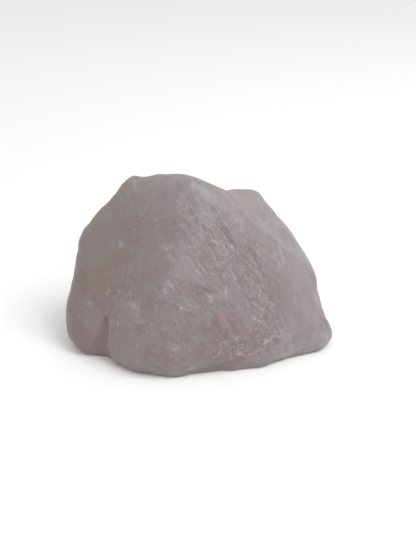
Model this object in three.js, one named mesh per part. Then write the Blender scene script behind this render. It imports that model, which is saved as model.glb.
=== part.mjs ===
// A rough lump of pale, milky quartz: one solid piece, broken on every side and worn soft along its edges.
// Millimetres, +Z up. The stone rests on z = 0, with its broad fractured front towards -Y.
import * as THREE from "three";
import { ConvexGeometry } from "three/addons/geometries/ConvexGeometry.js";
import { mergeVertices } from "three/addons/utils/BufferGeometryUtils.js";

// Driving dimensions
const LENGTH = 60; // the finished stone's extent along X; everything else scales with it
const WEAR = 1.3; // radius that every edge and corner has been worn to
const WELD = 0.4; // how far two blocks flow into each other where they meet
const RAYS = 18; // subdivisions of the icosahedron whose corners are cast onto the surface
const HEART = new THREE.Vector3(0, 2, 13); // a point deep inside, from which the whole surface is in sight
const REACH = 60; // longer than any ray from the heart to the surface
const CLOSE = 0.004; // a ray has arrived when it is this near the surface
const SOLE = 0.05; // a point lower than this lies on the flat sole
const SETTLING = 2; // rounds of settling that take the rays' steps out of the edges

// The stone is a cluster of fracture blocks. Each is the convex hull of its corners, grown by WEAR, so
// that its faces stay flat and its edges are round. Corners at z = WEAR put the sole on the ground.
const BLOCKS = {
  // a three-sided pyramid with a short level crest
  mainMass: [
    [-16.9, 3, 37.3], // crest, left end
    [-8, 1, 38.3], // crest, highest stretch
    [-4.5, 0, 38.3],
    [3.2, 1, 34.5], // ridge down to the right
    [8, -1.2, 28.2],
    [12.3, -3.2, 23.2],
    [14.7, -5.2, 19.2],
    [16.7, -7.2, 14.2],
    [17.5, -8.5, 8.5],
    [17.2, -9.8, WEAR],
    [-8.8, -11.8, 18.4], // ridge down the middle of the front
    [5, -11.8, 10.5], // belly of the front
    [12, -12.3, WEAR], // front foot
    [5.3, -14.3, WEAR],
    [-2.7, -15.8, WEAR],
    [-7.1, -16.6, WEAR],
    [-22.6, -10.2, WEAR],
    [-21.5, -7, 10], // left side
    [-22, 3, 30.2],
    [-26.2, 2.5, 25.6],
    [-27.6, 1.5, 23],
    [-28.8, 0, 17.6],
    [-29.8, -1.2, 11.5],
    [-28, -4, WEAR],
    [-29, 8, 4], // back
    [-27, 11, WEAR],
    [-22, 12, 21],
    [-6, 12, 30],
    [3, 12.5, 27.5],
    [-17, 19, 9],
    [-13, 21.5, WEAR],
    [3, 21, WEAR],
    [20, 0, 8],
  ],
  frontButtress: [
    [-20.3, -7.5, 12],
    [-8.8, -12, 18],
    [-14.5, -15.2, 8.3],
    [-20.4, -10.9, 4],
    [-19.4, -12.1, WEAR],
    [-17.2, -14.7, WEAR],
    [-14.6, -15.8, WEAR],
    [-8, -16.6, WEAR],
    [0, 0, 6],
  ],
  leftLobe: [
    [-29.8, -1.2, 11.5],
    [-31.2, -2.5, 8.2],
    [-31.2, -4, 5],
    [-30.4, -5.4, 1.6],
    [-27.8, -9.2, WEAR],
    [-26.3, -8.2, 3],
    [-24.6, -6.8, 9],
    [-30, 5, WEAR],
    [-30, 5, 9],
    [0, 0, 8],
  ],
  // the smooth right side, from the front ridge back to the rear peak
  rightMass: [
    [4.2, 4.5, 32.5],
    [7.5, -0.5, 28],
    [12.3, -3.2, 23.2],
    [14.7, -5.2, 19.2],
    [16.7, -7.2, 14.2],
    [17.5, -8.5, 8.5],
    [17.2, -9.8, WEAR],
    [24, -6.5, WEAR],
    [25.4, 3, WEAR],
    [25, 4, 5.8], // up the right outline to the rear peak
    [24.7, 5, 8.6],
    [24, 6, 11.4],
    [21.8, 8, 15.5],
    [18.7, 9.5, 19.8],
    [15, 11, 24.5],
    [12.2, 12, 27.8],
    [10.8, 13, 29.2],
    [5.9, 14.5, 29],
    [-4, 15.5, 25], // back
    [3, 17.5, 24],
    [-3, 20, 13],
    [13, 20, 11],
    [21, 15, WEAR],
    [24, 9, 7],
    [5, 22.5, WEAR],
    [0, 10, 10],
  ],
  rightToe: [
    [27.5, -2.8, WEAR],
    [27.4, -1.8, 2.4],
    [26.4, 1, 2.8],
    [24.8, -6.8, WEAR],
    [20.5, -8.6, WEAR],
    [23.5, -4.5, 5],
    [25, 4, WEAR],
    [8, 0, 7],
  ],
};

// The niche between the left lobe and the buttress: a wedge, narrowing upwards, that is missing from both.
const NICHE = [
  [-26.4, -8, 0.9], // its back wall
  [-20.9, -9.6, 0.9],
  [-21.8, -5.4, 10.2],
  [-29.5, -14, 0.9], // out in front
  [-22.5, -16, 0.9],
  [-23.5, -14, 12],
];

// The triangles of a block's hull, each with the plane that it lies in.
function facesOf(corners) {
  const hull = new ConvexGeometry(corners.map((corner) => new THREE.Vector3(...corner)));
  const at = hull.getAttribute("position");
  return Array.from({ length: at.count / 3 }, (_, i) => {
    const triangle = new THREE.Triangle().setFromAttributeAndIndices(at, 3 * i, 3 * i + 1, 3 * i + 2);
    return { triangle, plane: triangle.getPlane(new THREE.Plane()) };
  });
}

// Distance from a point to a hull; 0 anywhere inside it.
function distanceTo(faces, point) {
  const nearest = new THREE.Vector3();
  const distances = faces
    .filter(({ plane }) => plane.distanceToPoint(point) > 0)
    .map(({ triangle }) => triangle.closestPointToPoint(point, nearest).distanceTo(point));
  return distances.length ? Math.min(...distances) : 0;
}

const hulls = Object.values(BLOCKS).map(facesOf);
const niche = facesOf(NICHE);

// Distance from a point outside the stone to its surface, with the blocks flowing together.
function gapTo(point) {
  const near = hulls.map((faces) => Math.exp(-distanceTo(faces, point) / WELD));
  const toBlocks = -WELD * Math.log(near.reduce((sum, share) => sum + share, 0)) - WEAR;
  const toNicheWall = -Math.max(...niche.map(({ plane }) => plane.distanceToPoint(point)));
  return Math.max(toBlocks, toNicheWall);
}

// Walks in along a ray towards the heart until it meets the surface or the ground.
function surfaceAlong(ray) {
  const point = HEART.clone().addScaledVector(ray, REACH);
  const ground = ray.z < 0 ? -HEART.z / ray.z : REACH;
  let reach = Math.min(ground, REACH);
  let gap = REACH;
  while (gap > CLOSE) {
    point.copy(HEART).addScaledVector(ray, reach);
    gap = gapTo(point);
    reach -= Math.max(gap, 0);
  }
  if (point.z < SOLE) point.z = 0;
  return point;
}

// For each point of a geometry, the set of points that it shares an edge with.
function neighboursIn(geometry) {
  const neighbours = Array.from({ length: geometry.getAttribute("position").count }, () => new Set());
  const corners = geometry.index.array;
  for (let i = 0; i < corners.length; i += 3) {
    const [a, b, c] = corners.slice(i, i + 3);
    neighbours[a].add(b).add(c);
    neighbours[b].add(a).add(c);
    neighbours[c].add(a).add(b);
  }
  return neighbours;
}

// Moves every point halfway towards the middle of its neighbours. The sole stays on the ground.
function settle(points, neighbours) {
  return points.map((point, i) => {
    const middle = new THREE.Vector3();
    neighbours[i].forEach((n) => middle.addScaledVector(points[n], 1 / neighbours[i].size));
    const moved = point.clone().lerp(middle, 0.5);
    return point.z === 0 ? moved.setZ(0) : moved;
  });
}

// Centres the skin over the origin and brings it to its length.
function fit(skin) {
  skin.computeBoundingBox();
  const { min, max } = skin.boundingBox;
  const scale = LENGTH / (max.x - min.x);
  skin.translate(-(min.x + max.x) / 2, -(min.y + max.y) / 2, 0);
  skin.scale(scale, scale, scale);
  skin.computeVertexNormals();
  return skin;
}

function stoneGeometry() {
  const ball = new THREE.IcosahedronGeometry(1, RAYS);
  ball.deleteAttribute("normal");
  ball.deleteAttribute("uv");
  const skin = mergeVertices(ball);
  const neighbours = neighboursIn(skin);
  const on = skin.getAttribute("position");
  let points = neighbours.map((_, i) => surfaceAlong(new THREE.Vector3().fromBufferAttribute(on, i)));
  for (let round = 0; round < SETTLING; round++) points = settle(points, neighbours);
  return fit(skin.setFromPoints(points));
}

const milkyQuartz = new THREE.MeshStandardMaterial({ color: 0x958b8b, roughness: 0.55, metalness: 0 });

const stone = new THREE.Mesh(stoneGeometry(), milkyQuartz);
stone.name = "stone";

const part = new THREE.Group();
part.add(stone);

export default part;
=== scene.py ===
import math

import bmesh
import bpy
import numpy as np
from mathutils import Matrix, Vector, noise


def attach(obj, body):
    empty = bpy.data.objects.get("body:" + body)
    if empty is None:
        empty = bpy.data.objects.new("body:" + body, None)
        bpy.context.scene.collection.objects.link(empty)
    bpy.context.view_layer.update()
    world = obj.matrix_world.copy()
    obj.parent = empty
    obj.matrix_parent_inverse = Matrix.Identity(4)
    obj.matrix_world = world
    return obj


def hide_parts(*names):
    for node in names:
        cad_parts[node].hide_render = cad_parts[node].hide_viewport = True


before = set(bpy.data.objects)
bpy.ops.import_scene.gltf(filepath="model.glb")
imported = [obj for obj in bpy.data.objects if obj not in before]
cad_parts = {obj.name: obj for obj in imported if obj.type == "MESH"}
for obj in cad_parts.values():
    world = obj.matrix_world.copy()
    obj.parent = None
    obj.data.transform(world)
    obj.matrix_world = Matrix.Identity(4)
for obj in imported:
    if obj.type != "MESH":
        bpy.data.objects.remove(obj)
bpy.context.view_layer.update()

MM = 0.001
TOUCHING = 0.001 * MM  # nearer than this counts as the same place


# ---------------------------------------------------------------- camera, light and floor

def set_camera():
    """A close view from the front, looking down at the stone."""
    elevation = math.radians(28)
    distance = 170.8 * MM
    target = Vector((1.9, -2.6, 15)) * MM
    back = Vector((0, -math.cos(elevation), math.sin(elevation)))
    data = bpy.data.cameras.new("close_view")
    data.lens = 50
    data.clip_start, data.clip_end = 5 * MM, 20
    camera = bpy.data.objects.new("close_view", data)
    camera.location = target + back * distance
    camera.rotation_euler = (-back).to_track_quat("-Z", "Y").to_euler()
    bpy.context.collection.objects.link(camera)
    bpy.context.scene.camera = camera


def add_softbox(name, place, width, watts, colour):
    """A square lamp, at a place in millimetres, that faces the middle of the stone."""
    data = bpy.data.lights.new(name, "AREA")
    data.size = width * MM
    data.energy = watts
    data.color = colour
    lamp = bpy.data.objects.new(name, data)
    lamp.location = Vector(place) * MM
    middle = Vector((0, 0, 15)) * MM
    lamp.rotation_euler = (middle - lamp.location).to_track_quat("-Z", "Y").to_euler()
    bpy.context.collection.objects.link(lamp)


def light_studio():
    world = bpy.data.worlds.new("pale_room")
    world.use_nodes = True
    sky = world.node_tree.nodes["Background"]
    sky.inputs["Color"].default_value = (1.0, 0.985, 0.975, 1)
    sky.inputs["Strength"].default_value = 0.84
    bpy.context.scene.world = world
    add_softbox("window", (265, -130, 430), 300, 1.48, (0.96, 0.98, 1.0))
    bpy.context.scene.view_settings.view_transform = "Standard"


def lay_floor():
    bm = bmesh.new()
    bmesh.ops.create_grid(bm, x_segments=1, y_segments=1, size=6)
    mesh = bpy.data.meshes.new("floor")
    bm.to_mesh(mesh)
    bm.free()
    floor = bpy.data.objects.new("floor", mesh)
    floor.location.z = -0.02 * MM
    bpy.context.collection.objects.link(floor)
    paper = bpy.data.materials.new("white_paper")
    paper.use_nodes = True
    shader = paper.node_tree.nodes["Principled BSDF"]
    shader.inputs["Base Color"].default_value = (0.9, 0.9, 0.9, 1)
    shader.inputs["Roughness"].default_value = 0.9
    mesh.materials.append(paper)


# ---------------------------------------------------------------- measuring over the surface
# From here on a "points" array holds one row of x, y, z in millimetres for each vertex.

def ease(value):
    """0 below 0, 1 above 1, and a soft S between them."""
    value = np.clip(value, 0, 1)
    return value * value * (3 - 2 * value)


def off_line(points, start, end):
    """How far each point is from the straight line between two places."""
    start, end = np.array(start, float), np.array(end, float)
    along = end - start
    share = np.clip((points - start) @ along / max(along @ along, 1e-9), 0, 1)
    return np.linalg.norm(points - start - share[:, None] * along, axis=1)


def lumps(points, size, shift, octaves=3):
    """Smooth noise, about -1 to 1, with lumps about `size` millimetres across."""
    move = Vector((shift, 2.7 * shift, -1.3 * shift))
    return np.array([noise.fractal(Vector(p) / size + move, 0.9, 2, octaves) for p in points])


def wander(points, size, reach, shift):
    """The points moved about by up to `reach` millimetres, to make borders irregular."""
    moves = [lumps(points, size, shift + 11.7 * axis, 2) for axis in range(3)]
    return points + reach * np.stack(moves, axis=1)


# ---------------------------------------------------------------- the stone's form

GRAIN = Vector((0.5, -0.34, -0.8)).normalized()  # the way the crystal grain runs over the front
SLANT = Vector((0.8, 0.16, 0.6)).normalized()  # the way fine streaks run, across the grain
FRONT = (0.22, -0.87, 0.44)  # the way the broken front faces
LEFT = (-0.54, -0.74, 0.4)
RIGHT = (0.74, -0.3, 0.6)
BACK = (-0.1, 0.87, 0.48)
BACK_LEFT = (-0.8, 0.4, 0.45)
BACK_RIGHT = (0.75, 0.5, 0.43)

# Swellings (+) and hollows (-): from, to, radius, height
SWELLINGS = [
    ((-12, -3, 38), (-11, 4, 38), 2.6, -0.55),  # dip in the crest beside the left corner
    ((-15, -0.6, 37), (-14.6, 1, 37.4), 1.8, 0.15),  # the left corner itself
    ((-7.6, -2, 38.6), (-7, 2, 38.6), 2.2, -0.2),
    ((-3.9, -5, 36.4), (-2.6, -7, 33.8), 3.4, -0.08),  # hollow left of the summit ridge
    ((-1.7, -3.5, 38.2), (0.6, -6, 34), 1.4, 0.12),  # the thin summit ridge
    ((2.4, -5.6, 33.2), (1.4, -7.1, 31.6), 2.2, 0.1),  # pale flake below it
    ((-4.1, -10.8, 26.8), (-6.8, -15.7, 19), 1.8, 0.15),  # blunt ridge down the middle
    ((-6.8, -15.7, 19), (-13.1, -18.5, 8.7), 2, 0.25),
    ((-17.8, -11.4, 14.2), (-18.4, -12.8, 10), 1.3, 0.35),  # left edge of the buttress
    ((-18.4, -12.8, 10), (-18.8, -13.6, 4.3), 1.3, 0.5),
    ((-18.8, -13.6, 4.3), (-18.2, -15, 1.5), 1.3, 0.35),
    ((-17, -16.6, 1.4), (-10, -19, 1.4), 3, -0.1),  # its foot
    ((-14, -18.6, 1.2), (9, -17.6, 1.2), 2.5, -0.5),
    ((-1, -19.2, 0.9), (4.6, -18.2, 0.9), 2.2, -0.3),
    ((-15, -18.6, 1), (-13.4, -19, 1), 2, 0.2),
    ((14.4, -15.8, 1.2), (18, -14.6, 1.2), 3, 0.4),
    ((5.4, -1, 35.2), (8, -2.4, 32.6), 1.2, -0.2),  # crease in front of the rear peak
    ((16, -2, 25.6), (22, 1, 18.8), 2.4, 0.2),
    ((22, -8, 14), (26, -6, 6), 3.5, -0.3),
    ((25.2, 4.2, 15), (20, 6.2, 22.4), 4, 0.4),  # shoulder of the right side
    ((13, 9.6, 30.4), (12.4, 12, 29), 3, 0.25),  # rear peak
    ((27.4, -1.2, 8.4), (26.8, 3, 9), 3, -0.4),  # waist above the right toe
    ((26.2, 2, 13), (26.8, 1, 11), 2.4, 0.25),
    ((28, -8.4, 3), (29.6, -5.2, 3.4), 3, 0.45),  # the toe
    ((29.6, -4.4, 5), (29.2, -2, 5.6), 2, 0.2),
    ((-25.3, -1.1, 24.4), (-26, 4, 24), 3.4, 0.4),  # shoulder of the left side
    ((-19, -0.8, 32.7), (-19, 4, 33), 4, -0.3),
    ((-21.6, -11.4, 0.8), (-25.2, -11, 1.2), 3, 0.05),  # foot of the left lobe
    ((-16, 15.4, 12), (-8, 17, 11), 5, -0.6),  # shell-like hollows round the back
    ((6, 18.5, 15), (11, 17.8, 16), 5, -0.55),
    ((-11, 12.4, 23), (-5, 13, 22), 4.5, -0.5),
    ((18, 15, 16), (21, 12, 14), 4, -0.45),
    ((-25, 6, 20), (-24, 9, 15), 4, -0.35),
    ((2, 10.6, 30), (5, 8, 32), 3, -0.3),
    ((-1.6, 17.6, 16), (-1, 19, 6), 2, 0.3),  # rib down the back
    ((14, 17.4, 20), (17, 18.2, 8), 2.4, 0.3),
]

# Ledges where a flake has come away:
# from, to, the way the face looks, height of the lip, how far back it fades
LEDGES = [
    ((2.9, -13.9, 17.9), (-5.4, -14.4, 20.9), FRONT, 0.24, 6),  # lip of the lilac swelling
    ((-5.4, -14.6, 20.9), (-8.4, -16.2, 16.8), FRONT, 0.25, 3),
    ((5, -14.4, 15.1), (0, -15.6, 15.8), FRONT, 0.25, 3),
    ((-0.6, -16.6, 13.6), (-4.6, -16.8, 15.6), FRONT, 0.3, 3),
    ((4.4, -16.3, 9.5), (3.4, -15.6, 13.4), FRONT, 0.3, 3.5),
    ((20, -13, 7.2), (6.6, -17, 7), FRONT, 0.22, 5),  # pale band low on the right
    ((14.6, -12.6, 14.5), (12.2, -14.4, 9.8), FRONT, 0.3, 3),
    ((10.4, -9.9, 21.5), (5.4, -7, 29.4), FRONT, 0.06, 3),  # streaks along the grain
    ((8.2, -11.2, 20), (3.6, -8.4, 27.6), FRONT, 0.06, 2.6),
    ((14.4, -10.4, 18.6), (10.4, -8.2, 25), FRONT, 0.15, 2.4),
    ((-9.4, -5, 34.6), (-15, -7, 27.6), LEFT, 0.15, 4),  # shallow shell-like steps on the left
    ((-8.2, -8.4, 30.4), (-16.8, -9.2, 20.6), LEFT, 0.15, 4),
    ((-12, -12.4, 20.4), (-18.6, -10.6, 15.4), LEFT, 0.25, 4),
    ((-22, 11, 15), (-9, 15, 18.4), BACK, 0.4, 5),  # round the back
    ((-15, 17, 7), (-4, 18, 9.6), BACK, 0.45, 5),
    ((1, 17.6, 20.6), (12.4, 16.6, 19.6), BACK, 0.4, 4),
    ((5, 19.6, 9), (16.5, 18, 12), BACK, 0.4, 5),
    ((-17, 8.4, 27.6), (-5, 12.4, 26.6), BACK, 0.35, 5),
    ((-8.6, 9.2, 30.2), (-3, 10, 31.6), BACK, 0.2, 4),
    ((-3, 10, 31.6), (3.4, 10, 30.2), BACK, 0.2, 4),
    ((25.2, 9.6, 8), (20, 14.6, 12), BACK_RIGHT, 0.22, 5),
    ((20.6, 11.4, 18), (16.6, 15, 20), BACK_RIGHT, 0.35, 3),
    ((-27, 5.4, 15), (-22.6, 11, 13), BACK_LEFT, 0.4, 4),
    ((-24, 6.4, 22), (-17, 9.8, 25), BACK_LEFT, 0.35, 4),
]

# Edges worn round: from, to, radius, how much
WORN = [
    ((9, -5, 30), (14.4, -7.2, 24.1), 3.6, 0.9),
    ((14.4, -7.2, 24.1), (18.3, -11, 15.6), 5, 1),
    ((18.3, -11, 15.6), (19.4, -13, 4), 5, 1),
    ((12, 1, 29), (19, -1, 21), 5, 1),
    ((22, 0, 20), (25.5, -3, 8), 5, 1),
    ((6, -2.6, 34), (11, 0.6, 29.6), 2, 0.6),
    ((-1.6, -6.4, 34.4), (1, -7.8, 31), 1.8, 0.7),
]

# Parts where broken crystals show: from, to, radius, how many radii out they end, how strongly
HACKLY = [
    ((3, -9, 28), (12, -13, 12), 9, 1.4, 1),
    ((-2, -15, 15), (14, -15, 8), 7, 1.4, 1),
    ((-3, -6, 35), (2, -6.5, 33), 3.5, 1.4, 0.5),
    ((-14, -16, 11), (-6, -19, 5), 6, 1.4, 0.6),
    ((-17, -10, 17), (-14, -12, 17), 4, 1.3, 0.7),
    ((-20, -10.6, 13), (-19.6, -11.6, 11), 2, 1.3, 0.8),
    ((-12, 16, 8), (8, 19, 12), 12, 1.2, 0.9),
    ((4, 15, 24), (16, 13, 22), 6, 1.2, 0.7),
    ((-26, 4, 10), (-23, 10, 6), 6, 1.2, 0.6),
]


def swell(points, start, end, radius, height):
    return height * ease(1.15 - off_line(points, start, end) / radius)


def ledge(points, start, end, facing, height, fade):
    """A lip along a line: full height just above it, fading away uphill, nothing below."""
    start, end, facing = np.array(start), np.array(end), np.array(facing)
    length = np.linalg.norm(end - start)
    along = (end - start) / length
    uphill = np.cross(along, facing)
    uphill *= math.copysign(1, uphill[2]) / np.linalg.norm(uphill)
    climb = (points - start) @ uphill
    travel = (points - start) @ along
    ends = ease((travel + 1) / 2) * ease((length + 1 - travel) / 2)
    depth = ease(2 - np.abs((points - start) @ facing) / 2)
    return height * ease((climb + 0.2) / 0.5) * ease(1.1 - climb / fade) * ends * depth


def behind(points):
    """1 on the sides that the front does not show, 0 in front."""
    x, y, z = points.T
    rear = ease((y - 0.15 * z) / 7 - 0.3)
    far_left = ease((-x - 20) / 4) * ease((y + 1 - 0.1 * z) / 5)
    return np.maximum(rear, far_left)


def hackliness(points):
    """How hackly the surface is: 1 on the crystalline front, little on the smooth left and right."""
    crystalline = np.maximum.reduce([
        share * ease(reach - off_line(points, start, end) / radius)
        for start, end, radius, reach, share in HACKLY
    ])
    smooth_right = ease((points @ np.array(RIGHT) - 23) / 3) * (points[:, 1] < 8)
    return np.clip(0.16 * (1 - 0.6 * smooth_right) + crystalline * (1 - 0.9 * smooth_right), 0, 1)


def along_grain(points, stretch):
    """The points squeezed along the grain, so that noise over them comes out stretched that way."""
    along = np.array(GRAIN)
    return points - (points @ along)[:, None] * along * (1 - 1 / stretch)


def grain_cells(points, size, stretch, shift):
    """Height, -1 to 1, of broken crystal faces: each cell of a stretched mosaic is tilted its own way."""
    heights = np.empty(len(points))
    for i, place in enumerate(along_grain(points, stretch) / size + shift):
        _, middles = noise.voronoi(Vector(place))
        tilt = noise.cell_vector(middles[0] * 7.3)
        heights[i] = (Vector(place) - middles[0]).dot(tilt * 2)
    return np.clip(heights, -1, 1)


def broken_faces(points):
    """Height of the broken crystals, from coarse faces down to thin fibres."""
    coarse = grain_cells(wander(points, 3, 0.6, 8.2), 3.2, 2.2, 0)
    medium = grain_cells(wander(points, 2, 0.4, 5.7), 1.5, 2.6, 40)
    fibres = along_grain(points, 3)
    height = 0.045 * coarse + 0.035 * medium + 0.06 * lumps(fibres, 1.8, 33.3, 4)
    return height + 0.06 * lumps(fibres, 1, 6.3) + 0.045 * lumps(fibres, 0.5, 9.9, 2)


def niche_depth(points):
    """How far the smooth wall of the niche lies behind the buttress: up to 1, with a sharp right border."""
    x, y, z = points.T
    right = np.interp(z, [0, 2.2, 4.3, 8, 10, 14], [-18.6, -18.9, -19.4, -19.1, -18.8, -18])
    left = np.interp(z, [0, 2, 6, 10.4], [-24, -23.5, -22.3, -19.9])
    inside = ease((right - x) / 0.5) * ease((x - left + 0.3) / 0.7)
    deeper = 0.35 + 0.65 * ease((x - left) / (right - left + 0.01))
    return inside * deeper * ease((11.2 - z) / 1.5) * (0.35 + 0.65 * ease(z / 3)) * (y < 0)


def tuck(points):
    """How far the foot is drawn back under the middle of the front."""
    return 0.55 * ease(1.3 - off_line(points, (-0.6, -19.4, 0), (4.4, -18.2, 0)) / 2.4)


def settle(heights):
    """Presses the rounded edge of the sole down, so that the stone stands on a crisper edge."""
    top, press = 2.2, 0.85
    return heights * (1 - press * np.clip(1 - heights / top, 0, 1) ** 2)


def copy_of_node(name):
    """The CAD node's surface as one closed, divided bmesh."""
    bm = bmesh.new()
    bm.from_mesh(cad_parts[name].data)
    bmesh.ops.remove_doubles(bm, verts=bm.verts, dist=TOUCHING)
    bmesh.ops.subdivide_edges(bm, edges=bm.edges, cuts=4, use_grid_fill=True)
    return bm


def relax(bm, sole, rounds):
    """Evens the whole skin out a little, with the sole kept on the floor."""
    all_ways = {"use_axis_x": True, "use_axis_y": True, "use_axis_z": True}
    for _ in range(rounds):
        bmesh.ops.smooth_vert(bm, verts=bm.verts, factor=0.5, **all_ways)
        for v in sole:
            v.co.z = 0


def wear(bm, lines, rounds):
    """Rounds the skin off along some lines by drawing each point towards its neighbours."""
    points = np.array([v.co for v in bm.verts]) / MM
    lifted = points[:, 2] > TOUCHING / MM
    one, other = np.array([[v.index for v in edge.verts] for edge in bm.edges]).T
    count = np.bincount(one, minlength=len(points)) + np.bincount(other, minlength=len(points))
    softness = np.maximum.reduce([
        share * ease(1.6 - off_line(points, start, end) / radius)
        for start, end, radius, share in lines
    ])
    for _ in range(rounds):
        for axis in range(3):
            place = points[:, axis]
            total = np.bincount(one, place[other], len(place)) + np.bincount(other, place[one], len(place))
            place += softness * (total / count - place) * (1 if axis < 2 else lifted)
    for v, place in zip(bm.verts, points):
        v.co = Vector(place) * MM


def sculpt(bm):
    """Moves the skin in and out to give it its ledges, hollows and broken crystal faces."""
    bm.normal_update()
    points = np.array([v.co for v in bm.verts]) / MM
    facing = np.array([v.normal for v in bm.verts])
    loose = wander(points, 2.5, 0.5, 3.1)
    bent = wander(loose, 7, 2.2 * behind(points)[:, None], 44.4)
    height = sum(swell(loose, *swelling) for swelling in SWELLINGS)
    height += sum(ledge(bent, *lip) for lip in LEDGES)
    height += hackliness(points) * broken_faces(points)
    height += 0.25 * lumps(points, 9, 1.9) + 0.02 * lumps(points, 1.6, 6.3)
    height *= ease((points[:, 2] - 0.1) / 1.2) * 0.9 + 0.1
    moved = points + facing * height[:, None]
    moved[:, 1] += 1.1 * niche_depth(points) + tuck(points)
    lowest = 0.02
    sole = points[:, 2] < TOUCHING / MM
    moved[:, 2] = np.where(sole, 0, settle(np.maximum(moved[:, 2], lowest)))
    for v, place in zip(bm.verts, moved):
        v.co = Vector(place) * MM
    return moved


def make_stone():
    bm = copy_of_node("stone")
    sole = [v for v in bm.verts if v.co.z < TOUCHING]
    relax(bm, sole, 10)
    wear(bm, WORN, 80)
    points = sculpt(bm)
    mesh = bpy.data.meshes.new("stone_skin")
    bm.to_mesh(mesh)
    bm.free()
    for face in mesh.polygons:
        face.use_smooth = True
    stone = bpy.data.objects.new("rough_stone", mesh)
    bpy.context.collection.objects.link(stone)
    paint_stone(stone, points)
    return stone


# ---------------------------------------------------------------- colour

# Strokes of colour in the stone, among them painted shade and painted highlights: from, to, radius,
# strength
PAINT = {}
PAINT["taupe"] = [
    ((-22, -2, 29), (-25, -5, 20), 7, 0.9),
    ((-24, -6, 20), (-26, -8, 11), 5, 0.9),
    ((-17, -15, 9), (-16, -17, 4), 3.5, 0.9),
    ((-14, -18.4, 5), (-11, -19.4, 3.6), 2.6, 0.7),
    ((-14, -2, 36), (-19, -2, 31), 4, 0.55),
    ((-16.4, -15.2, 10), (-17.4, -12.6, 13), 2, 0.7),
    ((-6.5, -9.3, 29), (-6.9, -13, 23), 1.6, 0.2),  # shady side of the middle ridge
    ((-9, -13.2, 18.4), (-14, -13, 16), 1.6, 0.25),
    ((-28, -8.6, 6.6), (-25, -11.6, 2.6), 2, 1),
]
PAINT["moss"] = [
    ((-14.3, -1.4, 36.8), (-11.7, -2.3, 36.3), 1.8, 1),
    ((-13.3, -0.9, 37.5), (-14.5, -2, 35.5), 1.4, 0.7),
    ((-10.3, -2, 37.1), (-8.7, -3.9, 36.4), 1.6, 1),
]
PAINT["mauve"] = [
    # crest and summit
    ((3.8, -4.8, 33.6), (5.2, -5.2, 32.4), 1, 0.8),
    ((-0.6, -4.2, 37), (1.4, -4.7, 35.2), 1, 0.7),
    ((-8.2, -6.9, 32), (-4.1, -9.4, 29.9), 3, 0.25),
    ((-11.2, -4.6, 34.1), (-9.9, -6.9, 31.3), 1.8, 0.3),
    # middle of the front
    ((-4.2, -8.4, 31.2), (-2, -10, 27.8), 1.6, 0.95),
    ((-2.7, -8.4, 30.8), (-6.7, -8.6, 30.2), 2, 0.4),
    # upper right of the front
    ((6.2, -6.5, 30), (8.8, -6.2, 29), 1.3, 0.7),
    # toe
    ((22.7, -9.4, 9.9), (26.4, -7.6, 4.6), 3, 0.4),
    # right side
    # these two broad washes are partly painted shade, dimming the side that faces the lamp
    ((19, -5, 20), (22, -6.6, 14), 5.5, 0.9),
    ((24, -2, 15), (26.4, -4.6, 7.6), 5, 1),
    ((22.6, 3.6, 18.6), (25.2, 2.8, 14.8), 2, 0.5),
    ((14, 3, 28), (18.6, 0, 22.6), 1.2, 0.7),  # line inside the pale rim
    ((20.6, -11, 10.5), (23.6, -10, 8), 4, 0.5),
    ((20.4, -8.8, 14.6), (21.6, -8.4, 13), 1.8, 0.9),
    ((23.4, -7.8, 10.4), (24.4, -7.6, 8.6), 1.6, 0.9),
    ((20.4, -6.8, 16.6), (21.4, -5.8, 15.4), 1.6, 0.9),
]
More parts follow.
